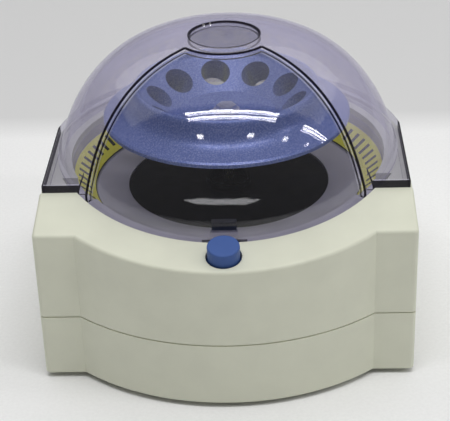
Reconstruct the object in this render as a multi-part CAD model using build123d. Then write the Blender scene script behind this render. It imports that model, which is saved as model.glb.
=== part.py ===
from build123d import *
import os
from math import atan2, cos, degrees, hypot, radians, sin, sqrt, tan

# Bench microcentrifuge for small sample tubes: a two-part moulded housing, a hinged clear dome,
# a ten-place rotor on a direct-drive motor, and a front button that frees the lid.
# Millimetres, +Z up, front towards -Y. The origin is on the table, under the rotor's axis.

# Housing: the plan has square front corners, a bulge at the front, a round rear and a block behind it.
body_width = 128.0
front_bulge = 12.0
corner_drop = 18.75
corner_radius = 1.6
rear_swell = 1.0
back_half_width = 33.0
back_corner = 4.0
side_blend = 20.0
wall = 2.4
foot_gap = 1.6
pan_height = 23.6
edge_round = 1.2
seam_groove = 0.5
lip_thick = 1.2
lip_rise = 2.0
lip_gap = 0.15

# Sloped front fascia and the level deck behind it.
fascia_rear_y = -34.8
fascia_rear_z = 61.0
fascia_slope = 10.8
deck_step = 1.0
fascia_hole_gap = 0.5
deck_hole_gap = 0.3
deck_relief_y = -22.0

# Clear lid: the dome is a superellipse turned about the rotor's axis.
dome_base_z = 18.46
dome_draft = 3.72
dome_height = 86.12
dome_power = 2.746
dome_edge_gap = 2.8
dome_wall = 2.0
dome_seat_drop = 1.2
recess_radius = 13.0
recess_floor_radius = 11.8
recess_depth = 0.9
window_half_angle = 51.0
window_top_radius = 16.9
window_depth = 0.45
flange_inset = 1.0
flange_thick = 2.2
flange_top_rise = 3.6
flange_lip_gap = 0.3
flange_lip_wall = 2.0
lid_front_gap = 0.5

# Lid hinge at the rear.
hinge_setback = 7.5
hinge_pin_radius = 1.5
hinge_bore_gap = 0.06
knuckle_radius = 3.2
knuckle_inner_x = 10.8
knuckle_outer_x = 18.1
ear_gap = 0.4
ear_thick = 3.0
centre_ear_half = 2.5
knuckle_deck_gap = 0.5
tab_depth = 10.0

# Catch tongue under the front of the lid.
tongue_width = 9.0
tongue_thick = 2.0
tongue_taper = 0.6
tongue_foot_z = 37.0
tongue_window_width = 6.0
tongue_window_low = 39.6
tongue_window_high = 42.6
magnet_width = 8.2
magnet_thick = 2.4
magnet_height = 3.0
magnet_foot_z = 58.9

# Release button, square to the fascia.
button_radius = 5.35
button_setback = 7.7
button_proud = 4.7
button_hole_gap = 0.65
button_cap_below = 3.2
button_collar_width = 14.0
button_collar_thick = 1.4
button_stem_radius = 2.4
button_stem_depth = 9.4
button_edge_round = 0.5

# Latch lever under the button, with its bracket, pin and return spring.
latch_pivot_inset = 3.2
latch_pivot_z = 30.0
latch_pin_radius = 1.5
latch_bore_gap = 0.06
latch_hub_radius = 3.4
latch_half_width = 3.6
latch_arm_thick = 3.0
latch_pad_gap = 0.35
latch_nose_gap = 1.1
latch_nose_width = 5.2
latch_nose_height = 1.4
latch_column_outset = 3.6
latch_column_thick = 2.4
bracket_gap = 0.5
bracket_thick = 2.0
bracket_floor_z = 19.0
bracket_boss_x = 13.0
bracket_boss_setback = 9.0
bracket_wing_z = 38.0
spring_wire = 0.5
spring_leg = 6.4

# Rotor bowl under the deck, with a sunk round cover over the motor.
bowl_floor_z = 47.2
band_width = 8.3
band_inset = 3.0
band_top_z = 54.0
bowl_mouth_draft = 0.2
bowl_wall = 2.2
bowl_flange_width = 7.2
bowl_flange_thick = 1.8
bowl_rim_gap = 0.1
bowl_side_gap = 0.4
cover_radius = 36.5
cover_drop = 0.6
cover_thick = 1.2
cover_ledge = 3.1
cover_hole_radius = 7.0
cover_collar_height = 2.0
band_thick = 0.25
band_lift = 0.02
front_boss_x = 47.0
front_boss_y = -47.0
rear_boss_x = 26.0
rear_boss_setback = 12.0
bowl_boss_z = 51.4
bowl_lug_thick = 2.4

# Rotor: thin blue moulding with ten tilted tube holes.
hole_count = 10
hole_phase = 10.7
hole_radius = 5.4
hole_circle_radius = 24.3
hole_circle_z = 79.4
hole_slope = 36.0
rotor_floor_radius = 17.6
ridge_radius = 30.6
ridge_top_z = 86.0
shoulder_radius = 33.2
rim_radius = 44.0
rim_z = 75.2
rotor_wall = 2.2
rotor_boss_radius = 8.0
rotor_boss_foot_z = 56.0
hub_radius = 5.0
hub_flange_radius = 7.4
hub_flange_thick = 1.2
shaft_radius = 2.0
shaft_top_z = 76.5
cap_screw_radius = 3.6
cap_screw_height = 2.6
sleeve_length = 13.0
sleeve_wall = 1.3
sleeve_drop = 0.8

# Motor, hung under the bowl on a plate with rubber grommets.
plate_top_z = 39.0
plate_thick = 2.0
plate_arm_radius = 40.0
plate_lobe_radius = 7.0
plate_disc_radius = 24.0
grommet_radius = 4.6
grommet_height = 3.4
grommet_neck_radius = 3.0
motor_radius = 18.0
motor_length = 28.0
can_wall = 1.4
magnet_gap = 0.6
motor_magnet_thick = 3.2
armature_length = 15.0
end_cap_thick = 3.0
bush_radius = 4.2
bush_length = 4.0
bush_gap = 0.05
commutator_radius = 4.6
commutator_length = 4.0

# Fasteners, feet and vents.
screw_radius = 1.4
screw_head_radius = 2.8
screw_head_height = 1.8
post_radius = 3.8
post_side_gap = 9.0
post_front_gap = 9.25
rear_post_turn = 45.0
rear_post_bite = 0.7
rear_post_z = 42.0
front_foot_x = 42.0
front_foot_y = -42.0
rear_foot_x = 30.0
rear_foot_y = 48.0
foot_radius = 6.0
foot_recess = 1.0
vent_length = 22.0
vent_width = 2.4
vent_pitch = 6.0
vent_count = 5
vent_y = 44.0

# Rear panel with the power jack and the power switch.
panel_half_width = 27.0
panel_recess = 3.5
panel_low_z = 4.6
panel_high_z = 22.4
jack_x = -17.0
jack_z = 13.5
jack_barrel_radius = 4.0
jack_flange_radius = 5.6
jack_depth = 13.0
jack_bore_radius = 2.85
jack_pin_radius = 1.0
switch_x = 13.0
switch_z = 13.5
switch_width = 19.0
switch_height = 12.6
switch_depth = 13.0
bezel_edge = 1.0
bezel_thick = 1.6
rocker_gap = 0.7
rocker_tilt = 8.0
rocker_pivot_depth = 0.6

# Circuit board beside the motor.
board_side_gap = 22.5
board_y = -10.0
board_width = 34.0
board_length = 58.0
board_thick = 1.6
board_z = 9.0
board_inset = 3.5
board_post_radius = 2.8

# Small parts on the board, and the wires.
header_width = 6.0
header_length = 8.0
header_height = 6.5
wire_radius = 0.75
lead_spread = 1.5
tag_inset = 5.0
tag_length = 2.6
tag_radius = 0.8
jack_tail = 3.0
switch_tag_x = 5.0
switch_tag_length = 6.0
switch_tag_height = 4.8
switch_tag_thick = 0.8
reed_radius = 1.1
reed_length = 11.0
reed_gap = 0.1

# Heights, radii and places worked out from the values above.
bulge_radius = body_width / 2 + front_bulge
corner_reach = bulge_radius - corner_drop
rear_radius = body_width / 2 + rear_swell
dome_skirt_radius = body_width / 2 - dome_edge_gap
dome_base_radius = dome_skirt_radius + dome_draft
dome_inner_radius = dome_skirt_radius - dome_wall
fascia_hole_radius = dome_skirt_radius + fascia_hole_gap
flange_rear_radius = rear_radius - flange_inset
band_top_radius = dome_inner_radius - band_inset
bowl_floor_radius = band_top_radius - band_width
bowl_mouth_radius = band_top_radius + bowl_mouth_draft
bowl_flange_radius = band_top_radius + bowl_flange_width
deck_hole_radius = band_top_radius + deck_hole_gap
hinge_y = bulge_radius - hinge_setback
panel_y = bulge_radius - panel_recess
button_centre_y = button_setback - bulge_radius
latch_pivot_y = latch_pivot_inset - dome_skirt_radius
latch_column_y = -dome_skirt_radius - latch_column_outset
bracket_boss_y = bracket_boss_setback - bulge_radius
rear_boss_y = bulge_radius - rear_boss_setback
board_x = board_side_gap - body_width / 2
seam_z = foot_gap + pan_height
deck_z = fascia_rear_z - deck_step
slope = tan(radians(fascia_slope))
far = 2 * bulge_radius
hinge_z = deck_z + knuckle_deck_gap + knuckle_radius
flange_top_z = deck_z + flange_top_rise
flange_under_z = flange_top_z - flange_thick
pan_floor_z = foot_gap + wall
plate_under_z = plate_top_z - plate_thick
grommet_foot_z = plate_under_z - (grommet_height - plate_thick) / 2
grommet_top_z = plate_top_z + (grommet_height - plate_thick) / 2
motor_foot_z = plate_under_z - motor_length
flange_half_width = body_width / 2 - flange_inset
board_top_z = board_z + board_thick
header_top_z = board_top_z + header_height
reed_near_x = tongue_width / 2 + 4.0


def fascia_z(y):
    """Height of the sloped fascia at a place along Y."""
    return fascia_rear_z + (y - fascia_rear_y) * slope


def block(x0, x1, y0, y1, z0, z1):
    """Box between two corners."""
    size = Box(x1 - x0, y1 - y0, z1 - z0)
    return Pos((x0 + x1) / 2, (y0 + y1) / 2, (z0 + z1) / 2) * size


def disc(radius, z0, z1, x=0.0, y=0.0):
    """Upright cylinder between two heights."""
    return Pos(x, y, (z0 + z1) / 2) * Cylinder(radius, z1 - z0)


def ring(outer, inner, z0, z1, x=0.0, y=0.0):
    """Upright tube between two heights."""
    return disc(outer, z0, z1, x, y) - disc(inner, z0, z1, x, y)


def bar_x(radius, x0, x1, y, z):
    """Cylinder along X."""
    return Pos((x0 + x1) / 2, y, z) * Rot(0, 90, 0) * Cylinder(radius, x1 - x0)


def bar_y(radius, y0, y1, x, z):
    """Cylinder along Y."""
    return Pos(x, (y0 + y1) / 2, z) * Rot(90, 0, 0) * Cylinder(radius, y1 - y0)


def turned(points):
    """Solid of revolution about the rotor's axis from (radius, z) corners."""
    outline = Polyline([(r, 0, z) for r, z in points], close=True)
    return revolve(make_face(outline), Axis.Z)


def side_cut(points, half_width):
    """Prism along X from (y, z) corners."""
    outline = Polyline([(0, y, z) for y, z in points], close=True)
    return extrude(make_face(outline), half_width, both=True, dir=(1, 0, 0))


def both_sides(shape):
    """The shape and its mirror image across the middle plane."""
    return [shape, mirror(shape, Plane.YZ)]


def plan(inset):
    """Housing plan, drawn in from the outer face by an inset."""
    radius = bulge_radius - inset
    reach = corner_reach - inset
    width = body_width - 2 * inset
    block_half = back_half_width - inset
    chord = sqrt(radius**2 - reach**2)
    front = RectangleRounded(width, 2 * reach, max(corner_radius - inset, 0.4))
    front += Circle(radius) & Rectangle(2 * chord, 2 * radius)
    rear = Circle(rear_radius - inset) & Rectangle(width, 2 * radius)
    rear += RectangleRounded(2 * block_half, 2 * radius, max(back_corner - inset, 0.4))
    rear &= Pos(0, far / 2) * Rectangle(far, far)
    for place, blend in ((block_half, back_corner + inset), (width / 2, side_blend - inset)):
        corners = [v for v in rear.vertices() if abs(abs(v.X) - place) < 0.01 and 1 < v.Y < corner_reach]
        rear = fillet(corners, blend)
    return (front & Pos(0, -far / 2) * Rectangle(far, far)) + rear


def prism(sketch, z0, z1):
    """A plan raised between two heights."""
    return extrude(Pos(0, 0, z0) * sketch, z1 - z0)


def under_top(drop):
    """Everything below the fascia and the deck, lowered by a drop."""
    corners = [
        (-far, 0.0),
        (-far, fascia_z(-far) - drop),
        (fascia_rear_y, fascia_rear_z - drop),
        (fascia_rear_y, deck_z - drop),
        (far, deck_z - drop),
        (far, 0.0),
    ]
    return side_cut(corners, far)


def on_fascia(shape):
    """Set a shape, made about the Z axis, square to the fascia at the button's centre."""
    return Pos(0, button_centre_y, fascia_z(button_centre_y)) * Rot(fascia_slope, 0, 0) * shape


def screw(x, y, seat_z, length, upward=True):
    """Pan-head screw; its head's bearing face lies at seat_z."""
    way = 1 if upward else -1
    tip = seat_z + way * length
    head = seat_z - way * screw_head_height
    body = disc(screw_radius, min(seat_z, tip), max(seat_z, tip), x, y)
    cap = disc(screw_head_radius, min(seat_z, head), max(seat_z, head), x, y)
    slot = disc(screw_radius * 0.6, min(head, head + way * 0.9), max(head, head + way * 0.9), x, y)
    return body + cap - slot


def four_places(front, rear):
    """A front place and a rear place, each with its mirror image across the middle plane."""
    return [(side * x, y) for x, y in (front, rear) for side in (-1, 1)]


def post_places():
    """Places of the four posts that join the two shells: two at the front, then two at the rear."""
    turn = radians(rear_post_turn)
    reach = rear_radius - wall - post_radius + rear_post_bite
    front = (body_width / 2 - post_side_gap, post_front_gap - corner_reach)
    return four_places(front, (reach * cos(turn), reach * sin(turn)))


def boss_places():
    """Places of the four bosses under the deck that carry the bowl."""
    return four_places((front_boss_x, front_boss_y), (rear_boss_x, rear_boss_y))


def foot_places():
    """Places of the four feet."""
    return four_places((front_foot_x, front_foot_y), (rear_foot_x, rear_foot_y))


def round_top_edge(shape):
    """Round the outer top edge of one end of the housing, up to the step behind the fascia."""
    chosen = []
    for edge in shape.edges():
        ends = [v.Z for v in edge.vertices()]
        level = max(ends) - min(ends) < edge.length * 0.9
        on_step = all(abs(v.Y - fascia_rear_y) < 0.01 for v in edge.vertices())
        if edge.center().Z > seam_z + 2 * wall and level and not on_step:
            chosen.append(edge)
    return fillet(chosen, edge_round)


def upper_housing():
    """Upper shell: walls, sloped fascia, deck, hinge ears and the posts inside."""
    top_z = fascia_rear_z + wall
    front = block(-far, far, -far, fascia_rear_y, 0, far)
    rear = block(-far, far, fascia_rear_y, far, 0, far)
    outside = prism(plan(0), seam_z, top_z) & under_top(0)
    shell = round_top_edge(outside & front) + round_top_edge(outside & rear)
    shell -= prism(plan(wall), seam_z, top_z) & under_top(wall)
    shell -= disc(fascia_hole_radius, seam_z, top_z) & front
    shell -= disc(deck_hole_radius, seam_z, top_z)
    shell -= disc(fascia_hole_radius, seam_z, top_z) & block(-far, far, -far, deck_relief_y, 0, far)
    for x, y in post_places():
        post_top = top_z if y < 0 else rear_post_z
        shell += disc(post_radius, seam_z, post_top, x, y) & under_top(wall / 2)
        shell -= disc(screw_radius, seam_z, seam_z + 2 * pan_height / 3, x, y)
    for x, y in boss_places():
        shell += disc(post_radius, bowl_boss_z, top_z, x, y) & under_top(wall / 2)
        shell -= disc(screw_radius, bowl_boss_z, bowl_boss_z + 3.0, x, y)
    for x in (-bracket_boss_x, bracket_boss_x):
        shell += disc(screw_head_radius, bracket_wing_z, top_z, x, bracket_boss_y) & under_top(wall / 2)
        shell -= disc(screw_radius, bracket_wing_z, bracket_wing_z + 7.0, x, bracket_boss_y)
    shell -= on_fascia(Cylinder(button_radius + button_hole_gap, 4 * wall))
    shell += hinge_ears()
    return shell


def hinge_ears():
    """Three ears on the deck that hold the hinge pin."""
    outer = knuckle_outer_x + ear_gap
    centre = (-centre_ear_half, centre_ear_half)
    spans = [(-outer - ear_thick, -outer), centre, (outer, outer + ear_thick)]
    ears = []
    for x0, x1 in spans:
        foot = block(x0, x1, hinge_y - knuckle_radius, hinge_y + knuckle_radius, deck_z - wall / 2, hinge_z)
        ears.append(foot + bar_x(knuckle_radius, x0, x1, hinge_y, hinge_z))
    ears = Part() + ears
    return ears - bar_x(hinge_pin_radius, -2 * outer, 2 * outer, hinge_y, hinge_z)


def base_pan():
    """Lower shell: floor, walls, seam lip, rear panel, screw bosses, board posts and vents."""
    inner = prism(plan(wall), pan_floor_z, seam_z)
    pan = prism(plan(0), foot_gap, seam_z - seam_groove)
    pan = chamfer(pan.faces().sort_by(Axis.Z)[0].edges(), edge_round / 2)
    pan += prism(plan(seam_groove), seam_z - seam_groove, seam_z)
    pan -= inner
    pan += seam_lip()
    outer = panel_half_width + wall
    backing = block(-outer, outer, panel_y - wall, far, foot_gap + wall / 2, seam_z - wall)
    pan += backing & prism(plan(wall / 2), foot_gap, seam_z)
    pan -= block(-panel_half_width, panel_half_width, panel_y, far, panel_low_z, panel_high_z)
    pan -= bar_y(jack_barrel_radius, panel_y - 2 * wall, panel_y + wall, jack_x, jack_z)
    half = switch_width / 2
    tall = switch_height / 2
    opening = block(-half, half, panel_y - 2 * wall, far, -tall, tall)
    pan -= Pos(switch_x, 0, switch_z) * opening
    for x, y in post_places():
        pan += disc(post_radius, foot_gap + wall / 2, seam_z, x, y)
        pan -= disc(post_radius + ear_gap, seam_z, far, x, y)
        pan -= disc(screw_radius, foot_gap, seam_z, x, y)
        pan -= disc(screw_head_radius + 0.3, foot_gap, foot_gap + 2 * screw_head_height, x, y)
    for x, y in foot_places():
        pan -= disc(foot_radius, foot_gap, foot_gap + foot_recess, x, y)
    for x, y in board_corners():
        pan += disc(board_post_radius, foot_gap + wall / 2, board_z, x, y)
        pan -= disc(screw_radius, pan_floor_z, board_z, x, y)
    pan -= vents()
    return pan


def seam_lip():
    """Lip inside the pan's rim that locates the upper shell."""
    low = prism(plan(wall - 0.2), seam_z - 2 * lip_rise, seam_z) - prism(plan(wall + lip_thick), 0, far)
    high = prism(plan(wall + lip_gap), seam_z - lip_rise, seam_z + lip_rise)
    high -= prism(plan(wall + lip_thick), 0, far)
    return low + high


def vents():
    """Rows of slots through the pan's floor, front and rear."""
    slots = []
    for row in (-1, 1):
        for i in range(vent_count):
            y = row * vent_y + (i - (vent_count - 1) / 2) * vent_pitch
            slot = Pos(0, y, foot_gap) * SlotOverall(vent_length, vent_width)
            slots.append(extrude(slot, 2 * wall))
    return Part() + slots


def feet():
    """Four round rubber feet set into the pan."""
    pads = []
    for x, y in foot_places():
        pad = disc(foot_radius - 0.1, 0, foot_gap + foot_recess, x, y)
        pads.append(chamfer(pad.faces().sort_by(Axis.Z)[0].edges(), 0.5))
    return pads


def dome_radius(z, inset):
    """Radius of the dome's outer face, or of a face inside it, at a height."""
    level = max(z - dome_base_z, 0.0) / (dome_height - inset)
    if level >= 1.0:
        return 0.0
    round_part = (dome_base_radius - inset) * (1 - level**dome_power) ** (1 / dome_power)
    return min(round_part, dome_skirt_radius - inset)


def dome_top(radius, inset):
    """Height of the dome's face at a radius from the axis."""
    share = (radius / (dome_base_radius - inset)) ** dome_power
    return dome_base_z + (dome_height - inset) * (1 - share) ** (1 / dome_power)


def dome_body(inset, foot_z):
    """Solid dome down to a height, drawn in by an inset."""
    skirt = dome_skirt_radius - inset
    radii = [skirt * share for share in (1.0, 0.97, 0.92, 0.84, 0.72, 0.58, 0.42, 0.26, 0.12, 0.0)]
    points = [(r, 0, dome_top(r, inset)) for r in radii]
    crown = Spline(points, tangents=[(-0.2, 0, 1), (-1, 0, 0)])
    side = Line((skirt, 0, foot_z), points[0])
    axis = Line(points[-1], (0, 0, foot_z))
    base = Line((0, 0, foot_z), (skirt, 0, foot_z))
    return revolve(make_face([crown, side, axis, base]), Axis.Z)


def window_sector():
    """Front sector of the dome, between two upright planes and outside a small circle."""
    reach = far * sin(radians(window_half_angle))
    depth = far * cos(radians(window_half_angle))
    wedge = make_face(Polyline((0, 0), (-reach, -depth), (0, -far), (reach, -depth), close=True))
    return prism(wedge, 0, far) - disc(window_top_radius, 0, far)


def lid_outline(inset):
    """Plan of the lid's flat flange, drawn in by an inset."""
    half = flange_half_width - inset
    front = fascia_rear_y + inset
    corners = Pos(0, front / 2) * Rectangle(2 * half, -front)
    rear = Circle(flange_rear_radius - inset) & Rectangle(2 * half, far)
    return corners + (rear & Pos(0, far / 2) * Rectangle(far, far))


def below_lid():
    """Space under the lid's lower edge: fascia side in front, deck side behind."""
    split = fascia_rear_y - lid_front_gap
    corners = [
        (-far, 0.0),
        (-far, fascia_z(-far) - dome_seat_drop),
        (split, fascia_z(split) - dome_seat_drop),
        (split, deck_z + flange_lip_gap),
        (far, deck_z + flange_lip_gap),
        (far, 0.0),
    ]
    return side_cut(corners, far)


def lid_flange():
    """Flat flange behind the fascia, with a lip turned down round its edge."""
    plate = prism(lid_outline(0), flange_under_z, flange_top_z)
    lip = prism(lid_outline(0), deck_z + flange_lip_gap, flange_under_z)
    lip -= prism(lid_outline(flange_lip_wall), 0, far)
    gap = knuckle_outer_x + ear_gap
    lip -= block(-gap, gap, 0, far, 0, far)
    return plate + lip - disc(dome_skirt_radius - dome_wall / 2, 0, far)


def lid_knuckles():
    """Two hinge knuckles on a tab behind the flange."""
    tab_rear = hinge_y - knuckle_radius - ear_gap
    half = knuckle_outer_x
    tab = block(-half, half, tab_rear - tab_depth / 2, tab_rear, flange_under_z, flange_top_z)
    knuckles = tab - disc(dome_skirt_radius - dome_wall / 2, 0, far)
    arm = block(knuckle_inner_x, knuckle_outer_x, tab_rear - 1, hinge_y, flange_under_z, flange_top_z)
    arm += bar_x(knuckle_radius, knuckle_inner_x, knuckle_outer_x, hinge_y, hinge_z)
    knuckles += both_sides(arm)
    return knuckles - bar_x(hinge_pin_radius + hinge_bore_gap, -far, far, hinge_y, hinge_z)


def catch_tongue():
    """Tongue that hangs inside the lid's front edge, with a window for the latch's nose."""
    front = -dome_inner_radius
    half = tongue_width / 2
    rear = front + tongue_thick
    top_z = fascia_z(front) + 2.0
    corners = [(front, top_z), (rear, top_z), (rear, tongue_foot_z), (front + tongue_taper, tongue_foot_z)]
    tongue = side_cut(corners, half)
    root = block(-half, half, front - dome_wall / 2, rear, top_z - 3.0, top_z)
    slot = tongue_window_width / 2
    window = block(-slot, slot, front - 1, rear + 1, tongue_window_low, tongue_window_high)
    return tongue + (root & disc(dome_skirt_radius - dome_wall / 2, 0, far)) - window


def lid_shell():
    """Clear lid in one moulding: dome, stepped front window, flange, hinge knuckles and tongue."""
    foot_z = seam_z
    dome = dome_body(0, foot_z)
    skin = dome - dome_body(window_depth, foot_z)
    dome -= skin & window_sector()
    crown_z = dome_top(recess_radius, 0)
    dome -= turned([
        (0, crown_z - recess_depth),
        (recess_floor_radius, crown_z - recess_depth),
        (recess_radius, crown_z + recess_depth),
        (0, crown_z + recess_depth + dome_wall),
    ])
    dome += disc(0.9, crown_z - recess_depth - 0.2, crown_z - recess_depth + 0.3)
    dome -= dome_body(dome_wall, foot_z)
    dome -= below_lid()
    return dome + lid_flange() + lid_knuckles() + catch_tongue()


def hinge_pin():
    """Steel pin through the ears and the knuckles."""
    end = knuckle_outer_x + ear_gap + ear_thick
    return bar_x(hinge_pin_radius, -end, end, hinge_y, hinge_z)


def coil(radius, wire, turns, height):
    """Coil spring about the Z axis, from z = 0 up."""
    path = Helix(height / turns, height, radius)
    section = Plane(path @ 0, z_dir=path % 0) * Circle(wire / 2)
    return sweep(section, path, is_frenet=True)


def lid_springs():
    """Two torsion springs on the hinge pin that lift the freed lid."""
    radius = knuckle_radius - 0.35
    start = centre_ear_half + 1.0
    length = knuckle_inner_x - 1.2 - start
    leg_z = hinge_z - radius
    winding = Pos(start, hinge_y, hinge_z) * Rot(0, 90, 0) * coil(radius, spring_wire, 5, length)
    front_leg = bar_y(spring_wire / 2, hinge_y - spring_leg, hinge_y, start, leg_z)
    rear_leg = bar_y(spring_wire / 2, hinge_y, hinge_y + spring_leg, start + length, leg_z)
    return both_sides(winding + front_leg + rear_leg)


def lid_magnet():
    """Small bar magnet bonded inside the front of the dome."""
    radius = dome_radius(magnet_foot_z + magnet_height, dome_wall) - 0.05
    half = magnet_width / 2
    front = -sqrt(radius**2 - half**2)
    top_z = magnet_foot_z + magnet_height
    return block(-half, half, front, front + magnet_thick, magnet_foot_z, top_z)


def release_button():
    """Round push button with a collar that stops it and a stem that meets the lever."""
    cap = Pos(0, 0, (button_proud - button_cap_below) / 2)
    cap *= Cylinder(button_radius, button_proud + button_cap_below)
    cap = fillet(cap.faces().sort_by(Axis.Z)[-1].edges(), button_edge_round)
    collar_z = -wall * cos(radians(fascia_slope)) - button_collar_thick / 2 - 0.25
    collar = Pos(0, 0, collar_z) * Box(button_collar_width, button_radius, button_collar_thick)
    stem = Pos(0, 0, -button_stem_depth / 2) * Cylinder(button_stem_radius, button_stem_depth)
    return on_fascia(cap + collar + stem)


def stem_foot():
    """Lowest place of the button's stem on its axis."""
    down = radians(fascia_slope)
    y = button_centre_y + button_stem_depth * sin(down)
    return y, fascia_z(button_centre_y) - button_stem_depth * cos(down) - button_stem_radius * sin(down)


def latch_lever():
    """Bell-crank lever: hub, forward arm, column, pad under the stem and nose."""
    pad_y, foot_z = stem_foot()
    pad_top = foot_z - latch_pad_gap
    column_rear = latch_column_y + latch_column_thick
    arm_low = latch_pivot_z - latch_arm_thick / 2
    half = latch_half_width
    lever = bar_x(latch_hub_radius, -half, half, latch_pivot_y, latch_pivot_z)
    lever += block(-half, half, latch_column_y, latch_pivot_y, arm_low, arm_low + latch_arm_thick)
    lever += block(-half, half, latch_column_y, column_rear, arm_low, pad_top)
    lever += block(-half, half, pad_y - button_stem_radius, column_rear, pad_top - 1.6, pad_top)
    nose_low = tongue_window_low + 0.8
    nose_tip = -dome_inner_radius - latch_nose_gap
    nose = latch_nose_width / 2
    lever += block(-nose, nose, column_rear - 0.5, nose_tip, nose_low, nose_low + latch_nose_height)
    return lever - bar_x(latch_pin_radius + latch_bore_gap, -far, far, latch_pivot_y, latch_pivot_z)


def latch_bracket():
    """Bracket under the fascia that carries the lever's pin and the return spring."""
    inner = latch_half_width + bracket_gap
    outer = inner + bracket_thick
    rear = latch_pivot_y + latch_hub_radius + 0.6
    front = latch_column_y - 2.0
    cheek_front = latch_pivot_y - latch_hub_radius - 1.0
    wing_out = bracket_boss_x + screw_head_radius
    wing_front = bracket_boss_y - screw_head_radius
    bracket = block(-outer, outer, front, rear, bracket_floor_z, bracket_floor_z + bracket_thick)
    wing_rear = cheek_front + bracket_thick
    cheek = block(inner, outer, cheek_front, rear, bracket_floor_z, latch_pivot_z + latch_hub_radius)
    cheek += block(inner, outer, cheek_front, wing_rear, bracket_floor_z, bracket_wing_z)
    cheek += block(inner, wing_out, wing_front, wing_rear, bracket_wing_z - bracket_thick, bracket_wing_z)
    cheek -= disc(screw_radius, 0, far, bracket_boss_x, bracket_boss_y)
    bracket += both_sides(cheek)
    return bracket - bar_x(latch_pin_radius, -far, far, latch_pivot_y, latch_pivot_z)


def latch_pin():
    """Steel pin that the lever turns on."""
    end = latch_half_width + bracket_gap + bracket_thick
    return bar_x(latch_pin_radius, -end, end, latch_pivot_y, latch_pivot_z)


def latch_spring():
    """Compression spring that pushes the lever and the button back up."""
    foot = bracket_floor_z + bracket_thick + spring_wire / 2 + 0.05
    head = latch_pivot_z - latch_arm_thick / 2 - spring_wire / 2 - 0.3
    middle_y = (latch_column_y + latch_pivot_y - latch_hub_radius) / 2
    return Pos(0, middle_y, foot) * coil(1.4, spring_wire, 4, head - foot)


def bowl_profile():
    """Turned shell of the bowl, without its flange."""
    ledge_z = bowl_floor_z - cover_drop - cover_thick
    hole = cover_radius - cover_ledge
    side = hypot(band_top_radius - bowl_floor_radius, band_top_z - bowl_floor_z)
    out_r = bowl_wall * (band_top_z - bowl_floor_z) / side
    out_z = bowl_wall * (band_top_radius - bowl_floor_radius) / side
    return turned([
        (hole, ledge_z),
        (cover_radius + 0.1, ledge_z),
        (cover_radius + 0.1, bowl_floor_z),
        (bowl_floor_radius, bowl_floor_z),
        (band_top_radius, band_top_z),
        (bowl_mouth_radius, fascia_rear_z),
        (bowl_mouth_radius + bowl_wall, fascia_rear_z),
        (band_top_radius + out_r, band_top_z - out_z),
        (bowl_floor_radius + out_r, bowl_floor_z - bowl_wall),
        (cover_radius + bowl_wall, bowl_floor_z - bowl_wall),
        (cover_radius + bowl_wall, ledge_z - cover_thick - 0.6),
        (hole, ledge_z - cover_thick - 0.6),
    ])


def rotor_bowl():
    """Dark bowl round the rotor, hung under the deck by its flange and four lugs."""
    top = wall + bowl_rim_gap
    bowl = bowl_profile() & under_top(top)
    flange = disc(bowl_flange_radius, seam_z, far) & under_top(top)
    flange -= under_top(top + bowl_flange_thick)
    flange &= prism(plan(wall + bowl_side_gap), seam_z, far)
    bowl += flange - disc(band_top_radius + bowl_wall / 2, 0, far)
    for x, y in boss_places():
        lug = disc(post_radius, bowl_boss_z - bowl_lug_thick, bowl_boss_z, x, y)
        reach = hypot(x, y)
        link = Rot(0, 0, degrees(atan2(y, x))) * block(
            band_top_radius, reach, -post_radius * 0.7, post_radius * 0.7,
            bowl_boss_z - bowl_lug_thick, bowl_boss_z,
        )
        bowl += (lug + link) - disc(band_top_radius, 0, far)
        bowl -= disc(screw_radius, bowl_boss_z - 2 * bowl_lug_thick, bowl_boss_z, x, y)
        bowl -= disc(post_radius + 0.3, bowl_boss_z, far, x, y)
    bay = tongue_width / 2 + 3.0
    boss_top = bowl_floor_z - cover_drop - cover_thick
    bowl -= block(-bay, bay, -far, -dome_inner_radius + tongue_thick + 0.4, latch_pivot_z, far)
    bosses = []
    for x, y in plate_places():
        bosses.append(disc(post_radius, grommet_top_z, boss_top, x, y))
    bowl += bosses
    for x, y in plate_places():
        bowl -= disc(screw_radius, grommet_top_z, boss_top - 0.2, x, y)
    return bowl


def bowl_band():
    """Thin coloured band on the bowl's sloped wall."""
    side = hypot(band_top_radius - bowl_floor_radius, band_top_z - bowl_floor_z)
    way_r = (band_top_radius - bowl_floor_radius) / side
    way_z = (band_top_z - bowl_floor_z) / side

    def place(along, lift):
        r = bowl_floor_radius + along * way_r - lift * way_z
        return (r, bowl_floor_z + along * way_z + lift * way_r)

    low = 0.8
    high = side - 0.2
    outer = band_lift + band_thick
    band = turned([place(low, band_lift), place(high, band_lift), place(high, outer), place(low, outer)])
    return band & under_top(wall + bowl_rim_gap + bowl_flange_thick + 0.4)


def motor_cover():
    """Dark round cover sunk in the bowl's floor, with a collar round the shaft."""
    top_z = bowl_floor_z - cover_drop
    cover = disc(cover_radius, top_z - cover_thick, top_z)
    cover += disc(cover_hole_radius + cover_thick, top_z, top_z + cover_collar_height)
    return cover - disc(cover_hole_radius, 0, far)


def plate_places():
    """The three fixing places of the motor plate."""
    turns = [radians(90 + 120 * i) for i in range(3)]
    return [(plate_arm_radius * cos(a), plate_arm_radius * sin(a)) for a in turns]


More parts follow.
